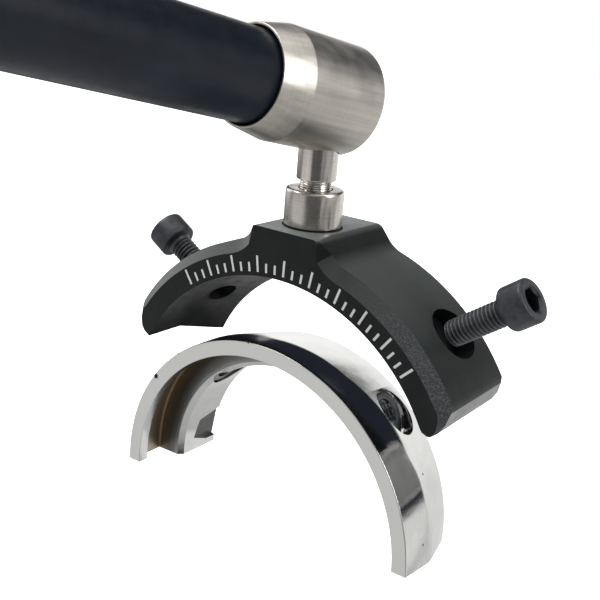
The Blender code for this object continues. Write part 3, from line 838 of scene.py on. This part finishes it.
# ------------------------ the handle
def build_socket(steel):
    """A cross socket: the tube goes into its mouth, the post into its side, and a set screw into its rear."""
    floor, wall = 7.7, 0.55  # the bore's end, and how thick the mouth's edge is
    post_hole, post_end = POST_RADIUS + 0.3, POST_TOP + 0.3
    set_screw_hole = 2.3
    profile = [
        (0.0, floor),
        (SOCKET_BORE, floor),
        (SOCKET_BORE, SOCKET_MOUTH, 0.25),
        (SOCKET_BORE + wall, SOCKET_MOUTH, 0.15),
        (SOCKET_RADIUS, SOCKET_CONE_START, 2.0),
        (SOCKET_RADIUS, SOCKET_REAR, 1.3),
        (0.0, SOCKET_REAR),
    ]
    socket = stand(turned("socket_turned", rounded(profile, 6), 160), BAR_AT, BAR_AXIS)
    carve(socket, stand(drill("post_hole", post_hole, 60.0, post_end), (0.0, POST_AT.y, 0.0), (0, 0, 1)))
    carve(socket, stand(drill("set_screw_hole", set_screw_hole, SOCKET_REAR - 2.0, 0.0), BAR_AT, BAR_AXIS))
    soften(socket, 0.12, 2, 35.0)
    finish_piece(socket, "bar_body", steel, "socket", slot="steel")


def build_tube(black):
    inner, start = 7.9, 8.0
    tube = [(inner, start), (inner, TUBE_END), (TUBE_RADIUS, TUBE_END, 0.2), (TUBE_RADIUS, start, 0.2)]
    obj = stand(turned("bar_tube_drawn", rounded(tube), 128, closed=True), BAR_AT, BAR_AXIS)
    finish_piece(soften(obj, 0.0), "bar_body", black, "bar_tube", slot="black_tube")


def build_grip_sleeve(black_rubber):
    """A sleeve with seven shallow waists, ribbed along each."""
    low, high, inner = GRIP_START, TUBE_END, TUBE_RADIUS + GRIP_GAP
    bands, ribs, steps = 7, 28, 140
    edge, dip, rib = 3.0, 1.1, 0.45
    pitch = (high - low - 2 * edge) / bands

    def place(height):
        """How far along its waist a height is, 0 to 1."""
        return ((height - low - edge) % pitch) / pitch

    def ribbed(radius, height, angle):
        if radius < GRIP_RADIUS - 2.0 or not low + edge < height < high - edge:
            return radius, height
        swell = clamp(4.0 * min(place(height), 1.0 - place(height)) - 0.3)
        return radius - rib * swell * (0.5 + 0.5 * math.cos(ribs * angle)), height

    outer = []
    for k in range(steps + 1):
        height = high - 1.6 - (high - low - 3.2) * k / steps
        waisted = low + edge < height < high - edge
        waist = dip * math.sin(math.pi * clamp(place(height))) ** 2 if waisted else 0.0
        outer.append((GRIP_RADIUS - waist, height))
    top = rounded([(inner + 1, high), (GRIP_RADIUS, high, 1.4), outer[0]], 5)[1:-1]
    bottom = rounded([outer[-1], (GRIP_RADIUS, low, 1.4), (inner + 1, low)], 5)[1:-1]
    profile = [(inner, low), (inner, high)] + top + outer + bottom
    sleeve = stand(turned("grip_sleeve_ribbed", profile, 168, closed=True, shape=ribbed), BAR_AT, BAR_AXIS)
    finish_piece(soften(sleeve, 0.0, angle=50.0), "bar_body", black_rubber, "grip_sleeve", slot="rubber")


def build_grip_collar(aluminium):
    """The stop collar under the grip, with one groove round it."""
    high, inner = GRIP_START - GRIP_GAP, TUBE_RADIUS + GRIP_GAP
    low, groove = high - STOP_LENGTH, high - STOP_LENGTH / 2
    half_width, floor = 0.5, 12.9
    collar = [
        (inner, low),
        (inner, high),
        (STOP_RADIUS, high, 0.8),
        (STOP_RADIUS, groove + half_width, 0.2),
        (floor, groove + half_width, 0.1),
        (floor, groove - half_width, 0.1),
        (STOP_RADIUS, groove - half_width, 0.2),
        (STOP_RADIUS, low, 0.8),
    ]
    obj = stand(turned("grip_collar_turned", rounded(collar, 4), 128, closed=True), BAR_AT, BAR_AXIS)
    finish_piece(soften(obj, 0.0), "bar_body", aluminium, "grip_collar", slot="aluminium")


def build_end_cap(aluminium):
    low, high = TUBE_END + GRIP_GAP, TUBE_END + CAP_LENGTH
    seat = high - CAP_SEAT
    hole, counterbore = 3.3, 5.5
    knurls, knurl = 60, 0.28

    def knurled(radius, height, angle):
        """Straight knurling round the cap's rim."""
        inside = low + 1.6 < height < high - 3.2 and radius > GRIP_RADIUS - 0.5
        return (radius - knurl * (0.5 + 0.5 * math.cos(knurls * angle)) if inside else radius), height

    cap = [
        (hole, low),
        (hole, seat),
        (counterbore, seat),
        (counterbore, high, 0.3),
        (GRIP_RADIUS - 1.2, high, 2.0),
        (GRIP_RADIUS, high - 3.0, 0.3),
        (GRIP_RADIUS, high - 3.3),
        (GRIP_RADIUS, low + 1.5),
        (GRIP_RADIUS, low, 0.5),
    ]
    obj = turned("end_cap_knurled", rounded(cap, 4), 480, closed=True, shape=knurled)
    stand(obj, BAR_AT, BAR_AXIS)
    finish_piece(soften(obj, 0.0), "bar_body", aluminium, "end_cap", slot="aluminium")


def build_cap_screw(dark):
    """A button head screw with a hexagon recess."""
    head = TUBE_END + CAP_LENGTH - CAP_SEAT + 0.3
    top, tip, floor = head + 3.2, head - 18.0, head + 1.2
    wide, shank, flats = 5.2, 3.0, 4.0
    screw = [(0.0, top), (wide, top, 2.4), (wide, head, 0.2), (shank, head), (shank, tip, 0.5), (0.0, tip)]
    obj = stand(turned("end_cap_screw_turned", rounded(screw, 6), 96), BAR_AT, BAR_AXIS)
    carve(obj, stand(drill("cap_key", flats / math.sqrt(3), floor, head + 5.0, 6), BAR_AT, BAR_AXIS))
    finish_piece(soften(obj, 0.1), "bar_body", dark, "end_cap_screw", slot="dark_steel")


# ------------------------ clamp screws
def threaded(radius, low, high, sign=1.0):
    """A shape for turned(): a helical thread between low and high, fading over a pitch at both ends.

    It is cut into a rod of that radius, or with sign = -1 into the wall of a hole.
    """

    def shape(r, height, angle):
        if abs(r - radius) > 0.01 or not low <= height <= high:
            return r, height
        place = (height / THREAD_PITCH - angle / math.tau) % 1.0
        rise = clamp((abs(2.0 * place - 1.0) - 0.12) / 0.76)
        edge = clamp(min(height - low, high - height) / THREAD_PITCH)
        return r - sign * THREAD_DEPTH * rise * edge, height

    return shape


def thread_steps(radius, start, stop):
    """Points along a thread's side, ten to a pitch, from start down or up to stop."""
    step = math.copysign(THREAD_PITCH / 10, stop - start)
    points, height = [], start
    while (stop - height) * step > 0.0:
        points.append((radius, height))
        height += step
    return points


def build_clamp_screw(side):
    seat, axis = SCREW_SEAT[side], SCREW_AXES[side]
    top, tip = seat + HEAD_HEIGHT, seat - SCREW_LENGTH
    floor, neck = top - HEX_DEPTH, seat - SCREW_CONE
    key = HEAD_HEX / 2
    recess = [(0.0, floor), (key, floor), (key, top - 0.6), (3.0, top - 0.25), (3.2, top)]  # round at the rim
    head = [(HEAD_RADIUS, top, 0.95), (HEAD_RADIUS, seat, 0.7)]
    cone = [(SCREW_RADIUS + 0.35, seat), (SCREW_RADIUS, neck)]
    point = [(SCREW_RADIUS - 0.1, tip + 0.5), (SCREW_RADIUS - 0.75, tip), (0.0, tip)]
    profile = rounded(recess + head + cone, 5)[:-1] + thread_steps(SCREW_RADIUS, neck, tip + 0.6) + point
    thread = threaded(SCREW_RADIUS, tip + 0.3, seat - 0.3)

    def keyed(radius, height, angle):
        """The thread, and the six flats of the recess in the head."""
        if radius == key and height > seat:
            return radius / math.cos(angle % (math.pi / 3) - math.pi / 6), height
        return thread(radius, height, angle)

    name = "clamp_screw_" + side
    screw = stand(turned(name + "_threaded", profile, 96, shape=keyed), SCREW_MEET, axis)
    soften(screw, 0.08, 2, 40.0)
    look = black_screw("black_oxide_" + side, SCREW_RADIUS, seat - 0.3, top)
    finish_piece(screw, f"screw_{side}_body", look, name, slot="dark_steel")


# ------------------------ the half ring
def ring_profile():
    """From the tapered back, over the outside and the front lip, into the groove and over the step."""
    profile = [
        (RING_RADIUS - TAPER * (RING_WIDTH - RING_STRAIGHT), RING_WIDTH, 0.3),
        (RING_RADIUS, RING_STRAIGHT, 12.0),
        (RING_RADIUS, 0.0, 0.25),
        (RING_LIP, 0.0, 0.2),
        (RING_LIP, RING_LIP_DEPTH, 0.15),
        (RING_GROOVE, RING_LIP_DEPTH),
        (RING_GROOVE, RING_STEP),
        (RING_INNER + RING_STEP_EDGE, RING_STEP, 0.1),
        (RING_INNER, RING_STEP + RING_STEP_EDGE, 0.1),
        (RING_INNER, RING_WIDTH, 0.3),
    ]
    return rounded(profile, 8)


def worn_taper(radius, height, angle):
    """Moves the taper's start a little back on the ring's sides, and well forward on its top."""
    if radius < RING_GROOVE + 0.5 or not 3.0 < height < 14.0:
        return radius, height
    turn = math.degrees(angle) + 90.0
    back, forward = 0.9, 4.1
    right, left = clamp((62.0 - turn) / 38.0), clamp((turn + 60.0) / 30.0)  # 1 on top, 0 down each side
    return radius, height + back - forward * right * left


def cut_ring_end(ring, at, side):
    """A big box takes off everything past the end face."""
    half_width, half_length = 50.0, 60.0
    tilt = Matrix.Rotation(math.radians(-RING_END_TILT[side]), 3, "X")
    lean = Matrix.Rotation(math.radians(RING_TURN), 3, "Y") @ tilt
    reach = half_width if side == "right" else -half_width
    middle = at + lean @ Vector((reach, 0.0, -half_length))
    carve(ring, box("ring_end", (2 * half_width, 2 * half_length, 2 * half_length), middle, lean))


def cut_ring_hole(ring, side):
    """The insert's hole; the right one has a countersink, a little down the ring from the hole."""
    origin, axis = SCREW_MEET + RING_OUT, SCREW_AXES[side]
    inside, outside = 20.0, 50.0
    carve(ring, stand(drill("ring_hole", RING_HOLE, inside, outside, 96), origin, axis))
    if side == "right":
        wide, rim, narrow, floor = 6.2, 31.2, 5.2, 29.8
        mouth = [(0.0, outside), (wide, outside), (wide, rim), (narrow, floor), (0.0, floor)]
        shift = Vector((axis.z, 0.0, -axis.x)).normalized() * RING_MOUTH_SHIFT
        carve(ring, stand(turned("ring_mouth", mouth, 96), origin + shift, axis))


def cut_pocket(ring, at):
    """A flat recess inside the ring's left end."""
    pocket = prism("pocket", POCKET_OUTLINE, -POCKET_DEPTH, POCKET_DEPTH, lambda x, z: 0.0)
    around = Matrix.Rotation(math.radians(POCKET_ANGLE), 3, "Y")
    place = Matrix.Translation((at + around @ Vector((0.0, POCKET_Y, RING_INNER))) * MM)
    pocket.matrix_world = place @ around.to_4x4() @ Matrix.Rotation(-math.pi / 2, 4, "X")
    carve(ring, pocket)


def mark_pocket_floor(ring):
    """Gives the pocket's floor the ring's second material."""
    outward = Matrix.Rotation(math.radians(POCKET_ANGLE), 3, "Y") @ Vector((0.0, 0.0, 1.0))
    for face in ring.data.polygons:
        centre = face.center / MM
        depth = Vector((centre.x, 0.0, -centre.y)).dot(outward) - RING_INNER - POCKET_DEPTH
        if abs(depth) < 0.05 and centre.z > POCKET_Y - 5.0:
            face.material_index = 1


def build_ring():
    at = Vector((RING_OUT.x, RING_FRONT, RING_OUT.z))
    span = (-195.0, 15.0)  # past both ends, which the cuts then face off
    ring = turned("clamp_ring_polished", ring_profile(), 360, closed=True, span=span, shape=worn_taper)
    lay(ring, at)
    for side in RING_END_TILT:
        cut_ring_end(ring, at, side)
    for side in SCREW_AXES:
        cut_ring_hole(ring, side)
    cut_pocket(ring, at)
    soften(ring, 0.12, 2, 33.0)
    polished = polished_ring("polished_ring_metal")
    finish_piece(ring, "ring_body", polished, "clamp_ring", slot="polished_ring")
    unpolished = turned_metal("unpolished_pocket", (0.16, 0.16, 0.165), (0.1, 0.1, 0.105), 0.45)
    ring.data.materials.append(unpolished)
    mark_pocket_floor(ring)


def build_insert(side):
    low = INSERT_START[side]
    high = low + INSERT_LENGTH
    wall = [(INSERT_BORE, high), (INSERT_RADIUS, high, 0.3), (INSERT_RADIUS, low, 0.3), (INSERT_BORE, low)]
    profile = thread_steps(INSERT_BORE, low, high) + rounded(wall, 3)[1:-1]
    name = "thread_insert_" + side
    obj = turned(name + "_cut", profile, 96, closed=True, shape=threaded(INSERT_BORE, low, high, sign=-1.0))
    stand(obj, SCREW_MEET + RING_OUT, SCREW_AXES[side])
    look = turned_metal("dark_insert_" + side, (0.24, 0.25, 0.26), (0.06, 0.065, 0.07), 0.25)
    finish_piece(soften(obj, 0.0), "ring_body", look, name, slot="dark_steel")


# ------------------------ stage
def build_floor():
    shell = bmesh.new()
    bmesh.ops.create_grid(shell, x_segments=1, y_segments=1, size=6.0)
    floor = made("floor", shell)
    floor.location.z = CAD_LOW.z - 0.25
    look = Look("pale_floor")
    look.set(Base_Color=(0.9, 0.9, 0.9), Roughness=0.9, Specular_IOR_Level=0.1)
    look.set(Emission_Color=(1.0, 1.0, 1.0), Emission_Strength=0.9)
    floor.data.materials.append(look.mat)
    floor.visible_glossy = False


def build_world():
    """Bright cards round and above the part in a dark room, for its reflections; the camera sees plain white.

    Bearings are in degrees from +Y towards +X. A card rises over two of them and falls over two others.
    """
    no_start, no_end = (-200.0, -190.0), (190.0, 200.0)  # past every bearing, for a card with one soft side
    cards = [  # (bearings where it rises, where it falls, brightness by height)
        # behind the part
        (
            (-41.0, -37.0),
            (31.0, 35.0),
            [(-90, 0.7), (-45, 0.72), (-12, 1.05), (0, 1.25), (12, 1.35), (16, 0.0)],
        ),
        # the strip beside it, faint above the horizon
        (
            (31.0, 35.0),
            (47.0, 52.0),
            [(-90, 0.8), (-22, 1.1), (-8, 1.0), (-5, 0.0), (-1.5, 0.0), (1.5, 0.26), (18, 0.3), (22, 0.0)],
        ),
        # the lamp at the left
        ((-112.0, -100.0), (-72.0, -60.0), [(-14, 0.0), (-4, 1.6), (30, 1.6), (42, 0.0)]),
        # the floor at the left, and the floor and a faint glow at the right
        ((-125.0, -100.0), (-41.0, -37.0), [(-90, 0.7), (-30, 0.6), (-22, 0.0)]),
        ((47.0, 52.0), (90.0, 120.0), [(-90, 0.7), (-20, 0.7), (-8, 0.3), (-5, 0.06), (40, 0.1)]),
        # the camera's side of the room, left and right
        (no_start, (-125.0, -100.0), [(-90, 0.7), (-40, 0.7), (-18, 0.82), (-4, 0.6), (2, 0.06)]),
        (
            (90.0, 120.0),
            no_end,
            [(-90, 0.7), (-42, 0.65), (-34, 0.5), (-27, 0.1), (-2, 0.12), (10, 0.32), (40, 0.32)],
        ),
    ]
    sky = Sky("studio")
    x, y, z = sky.split()
    across = sky.math("DEGREES", sky.math("ARCTAN2", x, y))
    up = sky.math("DEGREES", sky.math("ARCSINE", z))
    total = sky.times(sky.band(up, 43.0, 51.0), 1.3)  # the ceiling
    for rise, fall, stops in cards:
        total = sky.math("MAXIMUM", total, sky.window(across, up, rise, fall, stops))
    faint = 0.1  # under this the strength stays at 1, and the shade alone darkens towards the room's
    shade = sky.mix(sky.band(total, 0.0, faint), (0.022, 0.026, 0.038), (1.0, 1.0, 0.985))
    level = sky.math("MAXIMUM", total, 1.0)
    dim = sky.math("MAXIMUM", sky.math("MINIMUM", total, 1.0), sky.math("LESS_THAN", total, faint))
    studio = sky.add("ShaderNodeBackground", Color=shade, Strength=sky.times(level, dim))
    white = sky.add("ShaderNodeBackground", Color=(1.0, 1.0, 1.0, 1.0))
    rays = sky.add("ShaderNodeLightPath")
    pick = sky.add("ShaderNodeMixShader", i0=rays.outputs["Is Camera Ray"], i1=studio, i2=white)
    sky.add("ShaderNodeOutputWorld", Surface=pick)


def soft_light(name, place, size, power):
    """A rectangular lamp, in metres and watts, turned to the clamp."""
    clamp_at = Vector((0.0, 0.0, 0.03))
    data = bpy.data.lights.new(name, "AREA")
    data.shape = "RECTANGLE"
    data.size, data.size_y = size
    data.energy = power
    lamp = bpy.data.objects.new(name, data)
    lamp.location = place
    lamp.rotation_euler = (clamp_at - Vector(place)).to_track_quat("-Z", "Y").to_euler()
    bpy.context.scene.collection.objects.link(lamp)


def build_camera():
    """The camera fitted to the photo: its place in mm, and its turns in degrees."""
    place = Vector((117.64, -170.98, 103.85)) * MM
    yaw, pitch, roll = (math.radians(a) for a in (35.25, 17.96, 4.81))
    back = Vector((math.sin(yaw) * math.cos(pitch), -math.cos(yaw) * math.cos(pitch), math.sin(pitch)))
    level = (-back).cross(Vector((0, 0, 1))).normalized()
    upright = level.cross(-back)
    right = level * math.cos(roll) + upright * math.sin(roll)
    up = upright * math.cos(roll) - level * math.sin(roll)
    data = bpy.data.cameras.new("camera")
    data.sensor_width = 36.0
    data.lens = 56.52
    data.clip_start, data.clip_end = 0.01, 50.0
    camera = bpy.data.objects.new("camera", data)
    camera.matrix_world = Matrix.Translation(place) @ Matrix((right, up, back)).transposed().to_4x4()
    bpy.context.scene.collection.objects.link(camera)
    bpy.context.scene.camera = camera


def main():
    build_camera()
    bpy.context.scene.view_settings.view_transform = "Standard"
    build_world()
    build_floor()
    soft_light("key", (-0.5, -0.2, 0.9), (0.5, 0.5), 9.0)
    soft_light("right", (0.9, 0.1, 0.5), (0.3, 0.8), 5.0)

    nickel = turned_metal("satin_nickel", (0.66, 0.63, 0.59), (0.42, 0.39, 0.35), 0.24)
    nickel_fine = turned_metal("satin_nickel_fine", (0.66, 0.63, 0.6), (0.46, 0.43, 0.4), 0.2, rings=0.3)
    light, shaded = (0.6, 0.57, 0.52), (0.4, 0.38, 0.345)
    socket_metal = turned_metal("socket_metal", light, shaded, 0.36, rings=0.5, streaks=0.6)
    aluminium = turned_metal("turned_aluminium", (0.66, 0.67, 0.68), (0.5, 0.51, 0.52), 0.28)
    dark = turned_metal("black_oxide_plain", (0.05, 0.05, 0.052), (0.02, 0.02, 0.021), 0.42)
    dark_blue, less_dark = (0.004, 0.0055, 0.009), (0.007, 0.009, 0.014)
    tube_black = anodised("black_anodised_tube", dark_blue, less_dark, 0.34, grain=4.0, level=0.2)
    bronze = turned_metal("oiled_bronze", (0.5, 0.33, 0.17), (0.36, 0.22, 0.1), 0.35)
    seal = rubber("seal_rubber")
    grip_rubber = rubber("grip_rubber")

    build_saddle()
    build_marks()
    build_collar(nickel)
    build_post(nickel_fine)
    build_socket(socket_metal)
    build_tube(tube_black)
    build_grip_sleeve(grip_rubber)
    build_grip_collar(aluminium)
    build_end_cap(aluminium)
    build_cap_screw(dark)
    for side in SCREW_AXES:
        build_clamp_screw(side)
        build_insert(side)
    build_ring()
    kept = {  # CAD nodes that show as they are
        "collar_seal": seal,
        "swivel_bush": bronze,
        "pivot_washer": nickel,
        "pivot_screw": dark,
        "post_set_screw": dark,
        "tube_insert": aluminium,
        "end_plug": aluminium,
    }
    for node, mat in kept.items():
        paint(frame["nodes"][node], mat)


main()
